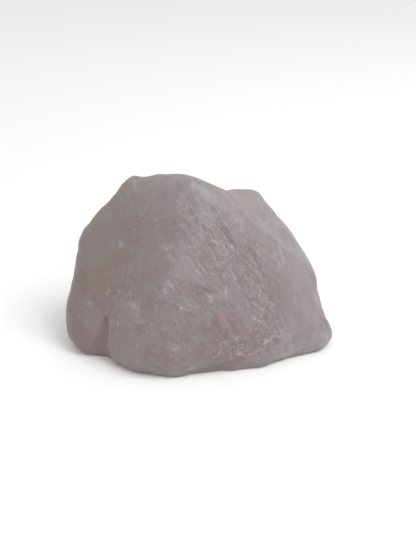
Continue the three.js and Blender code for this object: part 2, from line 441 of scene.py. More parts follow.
PAINT["pink"] = [
    # crest and summit
    ((-5, -6, 34.8), (-3.2, -6.4, 34.4), 1.2, 0.2),  # hollow by the summit
    ((-3.8, -6.4, 34.2), (-2.8, -7.4, 32.8), 1.5, 0.55),
    # buttress
    ((-12, -15.4, 15.4), (-9, -16.6, 14.6), 0.8, 0.6),
    # middle of the front
    ((-12, -18.2, 11), (-4, -18.6, 9), 4, 0.5),
    ((-6.6, -16.5, 16.9), (-5.8, -16.9, 15.4), 1.3, 1),
    ((-3.8, -15.2, 18.8), (3.4, -14.2, 17.4), 1.3, 0.8),  # under the lilac lip
    ((-1.2, -15.3, 16.5), (0.4, -16, 14), 1.3, 0.6),
    ((-10.2, -15.9, 15.7), (-6.2, -17.4, 13.9), 2, 0.55),
    ((-9.8, -17.6, 13.6), (-3, -17.8, 11.4), 2.2, 0.6),
    ((-2, -12.4, 22.6), (2.6, -12.2, 21), 1.4, 0.4),
    # upper right of the front
    ((4, -7, 29.9), (7.1, -8, 27), 1, 0.8),
    ((7.1, -8.4, 26.6), (9, -9.1, 24), 1.2, 0.8),
    ((8.8, -9.4, 24), (10.1, -10.2, 21.4), 0.9, 0.7),
    ((6.3, -9.2, 25.2), (8.4, -10.6, 22), 0.7, 0.8),
    ((10.9, -8.7, 23.6), (11.8, -9, 22.8), 0.7, 1),
    ((10.8, -8, 25), (13, -8.3, 23.2), 1.3, 1),
    ((1.6, -8.3, 29.3), (2.5, -8.6, 28), 0.9, 0.8),
    ((1.5, -9.9, 26), (4.4, -11.5, 21.8), 1.9, 0.65),
    # lower right of the front
    ((13.6, -11.8, 16.6), (15.6, -12, 15), 0.9, 0.8),
    ((15.8, -11, 16.9), (17.8, -11.7, 14.3), 0.9, 0.8),
    ((16.3, -12.4, 13.4), (18, -12.6, 11), 1, 0.95),
    ((14.2, -13.8, 10.8), (16.8, -13.6, 9.2), 1.1, 0.9),
    ((6.7, -15.3, 12.8), (7.6, -16.4, 9.8), 0.9, 0.9),
    ((8, -15.6, 11.6), (9.3, -16.1, 9.8), 0.9, 0.8),
    ((8.6, -16.5, 9), (12.6, -15.5, 7.6), 0.7, 0.9),
    ((11, -11, 18.6), (9, -12.6, 16.6), 1.6, 0.5),
    # foot of the front
    ((-9, -19.4, 4), (7, -17.8, 3), 4, 0.6),
    ((6.6, -17.2, 6.4), (8.8, -17, 5.4), 1, 0.5),
    ((11, -16.6, 4.8), (12.8, -16.2, 4), 1.3, 1),
    ((9.5, -16.7, 6.7), (13.4, -15.6, 5.7), 0.8, 0.95),
    ((14.4, -15.1, 5.2), (16.2, -14.6, 5.2), 1.3, 1),
    # right side
    ((20.2, -8.8, 14.8), (21.6, -8.2, 12.8), 2, 0.6),
    ((14.5, -7, 24.9), (16.2, -8.6, 21.7), 1.2, 0.3),
]
PAINT["rust"] = [
    # left side to the middle ridge
    ((-12.2, -6.5, 29.9), (-13.8, -7.8, 26.5), 2, 0.7),
    ((-13.8, -7.8, 26.5), (-15.5, -8.1, 23.9), 2.2, 0.9),
    ((-15.5, -8.6, 23.5), (-21, -7.5, 18.2), 2.6, 1),
    ((-13.1, -10.4, 22.6), (-15, -10.4, 19.5), 2.2, 0.5),
    ((-24.3, -5.5, 18.2), (-22.9, -7.7, 14.6), 2.4, 0.8),
    ((-22.9, -7.7, 14.6), (-18.7, -9.8, 16.6), 2.5, 1),
    ((-20, -6.5, 22.5), (-12.4, -7.6, 28.6), 6, 0.4),
    ((-11, -6.8, 31), (-5.6, -9, 30), 2.4, 0.45),
    ((-14.6, -5.4, 29), (-16.6, -7, 25), 2.2, 0.7),
    ((-12, -9.4, 25), (-7.6, -10, 28), 2, 0.4),
    ((-17.8, -9.8, 19), (-15.4, -10.6, 19.6), 1.3, 0.7),
    ((-16.6, -10.8, 18.8), (-15.2, -11.4, 17.6), 1.3, 0.9),
    ((-23.4, -4.4, 22), (-24.2, -4.8, 20.6), 1.8, 0.5),
    # left lobe and niche
    ((-20.6, -9.3, 14.2), (-20.4, -10.7, 11.6), 1.4, 1),
    ((-28, -8, 9), (-25.4, -11.3, 3), 3, 0.85),
    ((-26, -6, 16), (-28.5, -7, 9), 4.5, 0.6),
    ((-24, -10.6, 8), (-26, -10.4, 5), 3, 0.6),
    ((-24.7, -11.4, 3.4), (-23.4, -12, 2), 1.4, 0.6),
    # upper right of the front
    ((1.8, -10.6, 24.8), (2.6, -11.4, 22.8), 1.5, 0.85),
    ((8.4, -10, 22.9), (10.2, -10, 21.8), 0.9, 0.85),
    # foot of the front
    ((-10.2, -19.6, 6), (-4.3, -20, 3.3), 1.6, 0.75),
    ((-7.9, -20.2, 3.7), (-10, -20, 3), 1.6, 0.4),
    ((1.6, -18.6, 4.2), (9.4, -17.4, 2.8), 1.8, 0.9),
    # far left side
    ((-26.6, -1, 19), (-26, 4, 16), 3, 0.8),
    ((-22, 4, 27), (-20, 7, 23), 3, 0.5),
]
PAINT["rose"] = [
    ((-6, -17.6, 11), (2.4, -15.7, 14), 4, 1),
    ((1.5, -10.2, 25.4), (3.4, -10.6, 24), 2, 0.9),
    ((-14, -11.2, 20.6), (-8.5, -12.6, 22.6), 2.4, 0.9),  # left of the middle ridge
    ((-4.8, -7.4, 32.6), (-3.4, -9.2, 30), 1.8, 0.7),
    ((-8, -19, 6), (4, -18.2, 6), 3, 0.6),
    ((1.6, -12.2, 21), (4.6, -12.8, 19), 1.8, 0.8),
    ((26, -3.4, 9.6), (26.4, -3, 8.2), 1.6, 0.8),
    ((20.4, -6.8, 16.6), (21.4, -5.8, 15.4), 1.6, 0.8),
]
PAINT["tan"] = [
    ((-19.7, -11.5, 9.6), (-21.2, -12, 1), 2.4, 1),  # wall of the niche
]
PAINT["orange"] = [
    ((3.7, -15.8, 13.4), (4.7, -16, 12), 0.65, 1),  # salmon lens
    ((4.9, -16, 12), (5.6, -16.5, 10.7), 0.95, 0.9),
    ((1.5, -16.5, 11.4), (2.3, -17.1, 9), 0.6, 0.9),
]
PAINT["cream"] = [
    ((6, -2, 34), (9.5, 2, 31.6), 2, 0.6),
    ((9.5, 2, 31.6), (14, 8, 29.8), 3, 0.9),
    ((-24.8, -8.2, 11.3), (-22.8, -9, 11.8), 1.1, 0.5),  # cloud in the left lobe
    ((-26, -9.4, 8.9), (-21.8, -11, 9.4), 1.6, 0.25),
    ((-17.2, -1.2, 34.4), (-15.4, -1.6, 35), 1.4, 0.5),
    ((-24.2, -10.8, 7.4), (-23.2, -11.6, 5.6), 1.5, 0.25),
    ((-16, -2.4, 33.8), (-15, -2.8, 33.6), 1.5, 0.65),
    ((-10.8, -13.2, 20.4), (-9.8, -13.8, 19.2), 1.3, 0.4),
]
PAINT["haze"] = [
    ((13.6, 8.6, 29.6), (18, 7, 25), 3.2, 1),
    ((18, 7, 25), (22.7, 5, 19.1), 3, 1),
    ((22.7, 5, 19.1), (25.4, 3, 14.6), 2, 0.8),
    ((13, 0, 28.4), (17, 0, 24.6), 2.2, 0.5),
    ((-8, -1.6, 38.2), (-3, -2.4, 38.5), 1.8, 0.7),
    ((-0.4, -1.8, 38.2), (6.6, -2.2, 33.8), 1.4, 0.7),
    ((6.6, -2.2, 33.8), (11, -2.6, 30), 1.4, 0.5),
    ((12, 5, 29.8), (16.4, 3, 25.8), 2, 0.6),
    ((17.6, -13.6, 3.4), (25, -10, 2.6), 2.2, 0.8),
    ((24, -10.4, 3), (26.8, -9.2, 3), 2.2, 0.9),
    ((27, -8.8, 3.4), (28.4, -7, 3.4), 2.2, 0.2),
]
PAINT["ash"] = [
    ((-6, -3.4, 37.6), (-3.4, -4, 37.7), 1.6, 0.9),
    ((-2.9, -4, 37.8), (-1.6, -4.8, 36.4), 1.3, 0.8),
    ((-1.4, -3.9, 37.8), (0.2, -6.4, 33.8), 1.3, 0.8),
    ((0.3, -7.2, 32.2), (3.4, -6.3, 31.5), 1.5, 0.85),
    ((1.5, -4.3, 35.8), (2.8, -5.2, 34), 1.7, 0.75),
    ((-5, -4.8, 36.4), (-3.2, -5.2, 36.2), 1.2, 0.8),
    ((5, -2.6, 34.6), (13, -2.4, 27.6), 3, 0.6),
    ((17.6, -13, 11), (20, -12.4, 9), 1.6, 0.8),
    ((6.4, -16.9, 9), (8, -17, 7.2), 1.5, 0.35),
    ((-5.6, -5.8, 35), (-4.6, -6.4, 34.2), 1.2, 1),
    ((-4.4, -4.3, 37.2), (-3.4, -4.8, 36.8), 1, 0.8),
    ((19.8, -12.9, 6.4), (21.4, -12.3, 5), 1.4, 0.6),
]
PAINT["lilac"] = [
    ((-2.6, -11.9, 24.4), (-3.9, -13.6, 21.8), 1.7, 0.65),
    ((-4.2, -14, 21.7), (-0.6, -13.8, 20), 1, 0.9),
    ((-1.4, -13.6, 21.2), (1.4, -12.6, 21), 1.2, 0.5),
    ((9.9, -14, 13.6), (11, -14.8, 11.4), 1.7, 1),
    ((7.2, -7.1, 28.6), (8.6, -7.9, 26.4), 1, 0.95),
    ((20.5, 0.1, 20.6), (22.5, 1.2, 18.2), 1.2, 0.7),
    ((19.8, -12.6, 8), (22.6, -11.4, 5.6), 2.4, 0.75),
    ((-9.9, -7.6, 31), (-11.2, -4.8, 34), 1.2, 0.3),
    ((-6.4, -15.4, 20.4), (-7.4, -16.2, 18.2), 1.2, 0.5),
    ((12.4, -9.2, 22.2), (13.6, -10, 20), 1.3, 0.6),
    ((10.6, -10.4, 21.4), (11.6, -10.6, 20), 1, 0.6),
]
# dark brown: partly the stone's own colour, partly painted shade in the niche and down the left lobe's rim
PAINT["umber_and_shade"] = [
    # left side to the middle ridge
    ((-15.8, -12.2, 15.8), (-14.8, -13, 15), 1.2, 0.5),
    ((-24, -6.4, 17.4), (-23.6, -7.6, 14.6), 2, 0.5),
    # left lobe and niche
    ((-26, -5.6, 16), (-28.3, -7.4, 9), 3.2, 0.75),  # dark rim of the left lobe: painted shade over brown
    ((-23, -8.6, 13.2), (-21, -10.4, 11.4), 1, 0.7),
    # painted shade under the top of the niche
    ((-20.4, -11.2, 11), (-19.4, -11.8, 9.8), 1, 0.9),
    ((-24.4, -7.6, 13.2), (-22.8, -8.8, 13), 1, 0.5),
    # painted shade over brown, down the outer edge of the left lobe
    ((-28.5, -7, 8), (-25.5, -11.2, 2.4), 4, 1),
    ((-27, -8, 12), (-26.6, -9.6, 6), 2.8, 0.6),
    ((-25.4, -9.8, 8), (-22.6, -11.4, 7.6), 1.6, 0.35),
    ((-21.8, -9.4, 12.6), (-20.6, -10.8, 11), 1.4, 0.5),
    ((-24.4, -11.2, 6), (-22.6, -11.8, 4.2), 1.6, 0.5),
    # buttress
    ((-17.8, -12, 14.4), (-18.8, -12.6, 11.8), 1.2, 0.6),
    # middle of the front
    ((-9, -18.2, 10), (-5, -18.6, 8.6), 1.5, 0.45),
    ((1.5, -16.9, 10), (4, -17, 8.4), 1.5, 0.9),  # brown round the salmon lens
    ((3, -16.4, 11.4), (4.4, -17, 9), 1, 0.9),
    ((-4.2, -8.4, 31.2), (-2.8, -9.2, 29.8), 1.4, 0.5),
    # upper right of the front
    ((4.2, -10.6, 23.6), (5, -11.2, 22.4), 1, 0.5),
    ((11.8, -7.9, 25), (13, -8.4, 23.2), 1.4, 0.8),
    # lower right of the front
    ((5.9, -16.8, 9.4), (3, -17.4, 7.6), 1.2, 1),
    ((8.2, -16, 10), (9.8, -16.4, 8.6), 1.2, 0.7),
    # foot of the front
    ((11.8, -15.8, 8.4), (13.4, -15.1, 7.8), 1, 0.8),
    ((3.8, -17.4, 7.6), (5.4, -17.2, 7.2), 1.2, 0.7),
    ((7, -17.2, 6.2), (8.8, -17, 4.8), 1.4, 0.5),
    ((13.2, -15.3, 7.2), (14.8, -14.8, 6), 1, 0.8),
    ((4, -17, 8.8), (11, -16.3, 7.2), 2, 0.4),
    ((5.5, -17, 7.8), (9.7, -16.5, 6.8), 1, 0.8),
    ((-4, -18.6, 8.6), (0.6, -18, 7.4), 1.6, 0.6),
    ((-10, -18.4, 8.4), (-6, -18.9, 7), 1.6, 0.4),
    ((-9.6, -19.4, 6.8), (-7, -19.6, 6.6), 1.6, 0.8),
    ((-8.6, -19.9, 5.2), (-2.8, -19.4, 5), 1.4, 0.7),
    ((0, -18.9, 4.4), (7, -17.8, 3), 2, 0.5),
    ((0, -18.3, 6.2), (3.2, -18.2, 4.8), 1.4, 0.8),
    # right side
    ((20.4, -8.8, 14.4), (21.2, -8.4, 13.4), 1.2, 0.8),
    # far left side
    ((-27.6, 0, 15), (-26, 5, 9), 3, 0.5),
]
PAINT["frost"] = [
    # crest and summit
    ((-1.8, -2.6, 38.4), (-1, -4, 37.6), 1, 0.2),  # summit ridge and the flake below it
    ((-1, -4, 37.6), (0.5, -5.8, 34.6), 1, 0.15),
    ((0.5, -5.8, 34.6), (1.5, -6.6, 32.6), 1.3, 0.75),
    ((1.2, -7, 32), (3.8, -6.6, 31), 1.3, 0.8),
    ((0.4, -3.4, 37.2), (5.4, -3.4, 34), 1.6, 0.2),
    ((-0.8, -7.4, 32), (0.6, -8, 30.6), 1.1, 0.7),
    ((-4.4, -4.3, 37.2), (-3.4, -4.8, 36.8), 1, 0.4),
    # left side to the middle ridge
    ((-7.6, -15.8, 19), (-7, -16.4, 18), 1, 0.4),
    # buttress
    ((-12.6, -16.2, 13.4), (-11.4, -16.8, 13), 1.2, 0.7),
    # upper right of the front
    ((6.2, -3.4, 33.2), (9.4, -5, 30), 1, 0.45),
    # toe
    ((17.5, -13.9, 7.8), (19.3, -13.3, 5.7), 1, 1),
    ((28.4, -7, 5), (28, -9, 2.6), 1.4, 0.4),
    # right side
    ((12.6, -0.9, 28.3), (14.2, -1.4, 26.6), 1.2, 1),
    ((14.2, -1.4, 26.6), (16.4, -1.9, 24.6), 1.4, 1),
    ((15.1, -5.3, 24.5), (16, -6.6, 23), 0.7, 0.4),
    ((16, -6.6, 22.8), (16.9, -8.4, 20.6), 0.6, 0.9),
    ((17.2, -1.9, 23.9), (20.2, -0.4, 20.8), 1.2, 0.9),
    ((17.4, -3, 22.8), (17.6, -7, 20.7), 1, 0.8),
    ((22.8, 1.2, 18), (25.4, -2, 11.4), 1.2, 0.3),
    ((15, 3.4, 27), (18.8, 4.2, 23.6), 1.7, 0.6),
    ((22, 2.4, 19), (23.6, 2, 17), 1, 0.5),
    ((22, 1, 19.4), (23.6, 2.2, 16.6), 1.6, 0.7),
    ((14, 1.2, 27.6), (15.4, 2, 26.4), 1.3, 0.6),
]
PAINT["white"] = [
    # crest and summit
    ((-13.8, -2.1, 36), (-13.6, -1.9, 36.4), 0.5, 0.8),
    ((-8.9, -3.3, 36.9), (-8.8, -3.5, 36.5), 0.4, 0.7),
    # left side to the middle ridge
    ((-17.3, -6.3, 25.2), (-16, -7.3, 24.9), 0.9, 0.5),
    ((-19.6, -3.1, 29.8), (-19, -3, 30.4), 1, 0.45),
    ((-8.8, -15.5, 19.4), (-7.6, -16, 18.2), 1, 0.5),
    # left lobe and niche
    ((-24.1, -8.4, 11.8), (-22.8, -9.3, 11.4), 0.7, 0.7),
    ((-24.6, -9.7, 9.4), (-23.4, -10.3, 9.2), 0.9, 0.3),
    ((-26.5, -8.4, 9.4), (-26, -8.6, 9.3), 0.6, 0.6),
    ((-23.2, -11.8, 3.9), (-22.7, -11.9, 5.4), 0.6, 0.5),
    # buttress
    ((-14.2, -14.2, 14), (-12.6, -15.8, 13.4), 1.9, 0.65),
    ((-17.4, -15.5, 5.8), (-15.4, -17.6, 5.2), 1.4, 0.4),
    ((-13, -19, 7.2), (-12.1, -19.4, 6.2), 1.1, 0.5),
    # middle of the front
    ((-2.4, -12.4, 23.6), (-4, -14, 21.6), 1.2, 0.25),
    ((-0.6, -10, 27.4), (-1, -11.4, 25.6), 1.6, 0.6),
    ((-6.4, -11, 26.4), (-5.6, -12.4, 24.4), 1.4, 0.6),
    ((-7, -15.5, 19.8), (-7, -16.1, 18.6), 0.8, 0.4),
    ((-7.1, -16.3, 18), (-5.4, -16.2, 17.8), 1, 0.35),
    ((-8.7, -16.8, 16.6), (-8.4, -16.9, 16.2), 0.4, 0.9),
    ((-3.9, -16.5, 15.8), (-1.8, -16.4, 15.4), 0.7, 0.3),
    ((-3.4, -16.7, 14.8), (-2.4, -16.7, 14.4), 0.6, 0.9),
    ((1.8, -14.9, 16), (3, -15.4, 15), 0.8, 0.7),
    # upper right of the front
    ((8, -5.8, 30.1), (9.6, -6.3, 28.5), 0.3, 0.7),
    ((9.9, -5.6, 28.6), (11.6, -7, 25.8), 0.3, 0.7),
    ((1.2, -8.4, 28.6), (1.6, -8.1, 29), 0.6, 0.9),
    ((1.5, -7.7, 30.2), (4.2, -7.3, 29.3), 0.5, 0.5),
    ((3, -8.8, 27.2), (4.9, -9.2, 25.4), 0.6, 0.9),
    ((4.9, -9.2, 25.4), (6.1, -10.1, 23.5), 0.5, 1),
    ((6.1, -10.1, 23.5), (7.1, -9.3, 24.6), 0.4, 1),
    ((3.6, -10, 24.2), (5, -11, 22), 0.35, 0.5),
    ((5.6, -11.7, 20.8), (6.4, -12, 20), 0.5, 0.7),
    ((6.6, -11.5, 20.6), (7.9, -11.7, 19.4), 0.4, 0.9),
    ((9.6, -11.2, 19.6), (11.4, -11.6, 18.4), 0.4, 0.7),
    ((12.5, -10.4, 20.4), (13.4, -10.4, 18.8), 0.6, 0.55),
    ((0.4, -8.2, 29.5), (1.3, -8.4, 28.8), 0.8, 0.8),
    # lower right of the front
    ((5.2, -12.9, 18.5), (6.3, -14.1, 15.8), 0.4, 0.8),
    ((12.4, -11.1, 17.9), (12.8, -13, 14.7), 0.5, 1),
    ((13.5, -12.8, 14.8), (16.1, -12.4, 13.7), 0.6, 0.5),
    ((13.4, -13, 14.4), (14.2, -13.4, 12.6), 0.5, 0.5),
    ((13.7, -13.5, 12.5), (15.7, -13.2, 11.4), 0.5, 0.4),
    ((14.6, -12.7, 13.6), (15.4, -13, 12.4), 0.4, 0.8),
    ((11.6, -14.5, 11.8), (12.8, -14.4, 10.9), 0.6, 0.8),
    ((12.8, -14.4, 10.9), (13.7, -14.2, 10.1), 0.5, 0.8),
    ((14.6, -14.2, 9.5), (16.9, -14, 7.4), 1.1, 0.5),
    ((6.9, -16.6, 9.5), (7.6, -16.8, 8), 0.7, 0.6),
    # foot of the front
    ((-6.6, -19.4, 7.4), (-4.3, -18.9, 7.6), 1.1, 0.5),
    ((-5.6, -19.7, 5.8), (-3, -18.8, 7.8), 1, 0.45),
    ((-1.8, -19.8, 2.9), (-0.8, -19.7, 2.1), 0.9, 0.9),
    ((7.6, -16.8, 8), (8, -16.9, 6.7), 0.5, 0.4),
    ((7, -17.1, 7.2), (4.8, -17.5, 6.1), 0.6, 0.6),
    ((5.6, -17.6, 5.4), (3.2, -18.2, 4.6), 0.35, 0.7),
    ((7.1, -17.2, 6), (8.6, -17.2, 5), 0.4, 0.4),
    ((8, -17.4, 4.8), (11.3, -16.7, 4.1), 0.45, 1),
    ((11.3, -16.6, 4.1), (13.4, -15.9, 5), 0.3, 0.7),
    ((9.8, -17.3, 2.2), (11.1, -16.8, 2.6), 0.6, 0.9),
    ((15.8, -14.4, 7.2), (13.8, -15.3, 5.8), 0.4, 1),
    ((13.2, -15.4, 7.4), (12, -16, 6.2), 0.3, 0.8),
    ((12.6, -16.4, 2.2), (16.4, -14.4, 2), 1.2, 0.45),
    # toe
    ((15.4, -15, 3.6), (17.6, -14, 3.4), 0.8, 0.4),
    ((16.4, -14.1, 2.2), (21.6, -12, 1.8), 1.3, 0.55),
    # partly painted light: a pale wash where the low right faces down, away from the light
    ((18.6, -13, 4.6), (22, -11.6, 3.2), 2.6, 0.4),
    # right side
    ((14.5, -0.9, 26.4), (16.4, -2, 24.4), 0.7, 0.6),
    ((17.6, -2.2, 22.9), (19.4, 0.2, 21.4), 0.5, 0.5),
    # far left side
    ((-27.4, 1, 20), (-25.6, 3.6, 22), 0.9, 0.7),
    ((-28.6, 2, 9), (-27.4, 5, 7.6), 1.4, 0.6),
    ((-22.6, 2.6, 28.4), (-21.8, 4.6, 26.6), 0.8, 0.6),
]
# Painted highlights, where tiny crystal faces catch the light
PAINT["painted_sparkle"] = [
    ((-18.4, -10.4, 15.7), (-16.8, -11.2, 15.9), 0.7, 1),
    ((-19.8, -9.8, 14.9), (-19.7, -10.7, 12.9), 0.6, 1),
    ((-17.8, -13.2, 10.6), (-15.9, -14.6, 10.2), 0.6, 1),
    ((-23.2, -12.1, 4.3), (-22.8, -12, 4.6), 0.5, 1),
    ((-14.1, -6.9, 27.9), (-13.2, -6.9, 28.8), 0.8, 1),
    ((-11.4, -8.6, 27), (-7.9, -10.5, 26.6), 0.6, 0.8),
    ((8, -6, 30), (9.6, -6.3, 28), 0.8, 0.8),
    ((15.8, -14.4, 7.2), (13.8, -15.3, 5.6), 0.8, 1),
    ((12.6, -13, 15), (14, -14, 9), 1.6, 0.7),
]
# The sugary, busy parts
PAINT["busy"] = [
    ((5, -7.5, 29), (12, -8, 24), 3.6, 1),
    ((8, -10, 24), (13.5, -11, 17), 4.2, 1),
    ((13, -12.5, 16), (14.5, -14, 8), 4, 1),
    ((12, -15, 6), (7, -17, 5), 2.6, 0.7),
    ((-4, -15, 18), (0, -17, 9), 6, 0.4),
    ((0, -5, 36), (3, -6.5, 32), 2.5, 0.4),
    ((-16, -15, 12), (-8, -19, 5), 5, 0.3),
]
# Fine streaks across the grain
PAINT["streaked"] = [
    ((-5.2, -5.8, 35.4), (-2.4, -7, 33.2), 2, 1),
    ((-9.6, -7, 31), (-4, -9.4, 29.4), 3.4, 0.5),
    ((-13, -9, 26), (-8, -9.6, 28), 3.4, 0.4),
    ((-12, -11.6, 21.6), (-8, -12.4, 23), 2.4, 0.35),
    ((-12, -18, 11), (-6, -18.6, 9), 3, 0.35),
    ((5, -17.4, 6.4), (15.6, -14.2, 6), 2.8, 1),
]
# Painted highlights: single bright facets
PAINT["painted_glint"] = [
    ((-19, -9.7, 15.8), (-18.1, -10.4, 16), 0.3, 1),
    ((-19.7, -9.8, 14.6), (-19.6, -10, 14.3), 0.25, 1),
    ((-19.7, -10.7, 12.8), (-19.6, -10.8, 12.6), 0.22, 0.8),
    ((-16.8, -11, 16.2), (-16.6, -11.1, 16), 0.25, 0.8),
    ((-16.7, -13.8, 11.8), (-16.6, -13.9, 11.6), 0.22, 0.7),
    ((-17.7, -13.6, 10.8), (-17.5, -13.8, 10.2), 0.22, 1),
    ((-23.2, -11.9, 4.5), (-23, -11.9, 4.6), 0.25, 0.9),
    ((-13.9, -6.8, 28.1), (-13.7, -7, 27.7), 0.22, 0.8),
    ((-14, -8.5, 25), (-14, -8.6, 24.7), 0.22, 0.6),
    ((-8, -10.4, 26.8), (-8, -10.5, 26.4), 0.3, 0.9),
    ((13.6, -15.5, 5.6), (14.3, -15, 6.6), 0.3, 1),
    ((-4.1, -16.7, 15.2), (-2.9, -16.5, 14.5), 0.2, 0.5),  # thin pale lines
    ((-1.4, -4.7, 36.8), (-0.8, -5.7, 35), 0.2, 0.12),
    ((-3, -5.3, 36), (-2.2, -5, 36.5), 0.18, 0.25),
    ((-2.6, -6.6, 34), (-1.4, -7, 33), 0.2, 0.3),
    ((5.9, -17.1, 6.9), (4.1, -17.9, 5.2), 0.25, 0.25),
    ((8, -17.3, 5), (10.2, -17, 4), 0.25, 0.3),
    ((10.2, -17, 4), (12.1, -16.3, 4.1), 0.2, 0.3),
    ((1.9, -8.3, 28.9), (2.8, -8.6, 27.9), 0.25, 0.15),
    ((10.8, -15.8, 8.5), (11.8, -15.2, 9.1), 0.15, 0.5),
]
# Where crystals have dropped out: dark dots are painted there as the shade in the pits
PAINT["pitted"] = [
    ((-14.6, -5, 31.2), (-12.3, -6.7, 29.9), 0.7, 0.8),
    ((-17, -9.8, 18.6), (-9.7, -12.9, 20.6), 1.6, 0.7),
    ((-18.2, -10, 17.2), (-11.5, -14.4, 15.9), 1.5, 0.7),
    ((-19.3, -11.6, 11.4), (-20.2, -11.6, 10.6), 0.8, 1),
    ((7.7, -4.1, 32.2), (8.3, -4.7, 31.2), 0.6, 1),
    ((8.7, -7.8, 26.5), (11.4, -8.6, 23.6), 1.4, 0.7),
    ((2.8, -18.1, 5.7), (7.7, -16.9, 7), 1.2, 0.6),
    ((-4, -4.6, 37), (-4.6, -5.4, 35.4), 0.9, 0.8),
]

# Loose patches round the back: how common, how strong
PATCHES = {
    "taupe": (0, 0.6),
    "mauve": (0, 0.7),
    "pink": (0.15, 0.9),
    "rust": (0.05, 0.8),
    "lilac": (-0.3, 0.6),
    "white": (-0.15, 0.8),
    "frost": (-0.1, 0.55),
    "umber_and_shade": (-0.15, 0.7),
    "rose": (0.3, 0.9),
}


def brush(points, strokes):
    """How strongly a colour lies on each point: the strongest of its strokes."""
    return np.maximum.reduce([
        power * ease(1.2 - 0.75 * off_line(points, start, end) / radius)
        for start, end, radius, power in strokes
    ])


def paint_stone(stone, points):
    """Writes one named mask for each colour, from strokes in front and loose patches round the back."""
    loose = wander(points, 2.2, 0.9, 21.5)
    hidden = behind(points)
    masks = {name: brush(loose, strokes) for name, strokes in PAINT.items()}
    for i, (name, (share, power)) in enumerate(PATCHES.items()):
        patches = ease(1.1 * (lumps(points, 6.5, 50 + 13.1 * i) + share) + 0.3)
        masks[name] = np.maximum(masks[name], power * hidden * patches)
    masks["hackly"] = hackliness(points)
    masks["busy"] = np.maximum(masks["busy"], 0.7 * hidden * ease(lumps(points, 9, 90.3) + 0.45))
    for name, mask in masks.items():
        layer = stone.data.attributes.new(name, "FLOAT", "POINT")
        layer.data.foreach_set("value", mask.astype(np.float32))


# ---------------------------------------------------------------- the stone's material

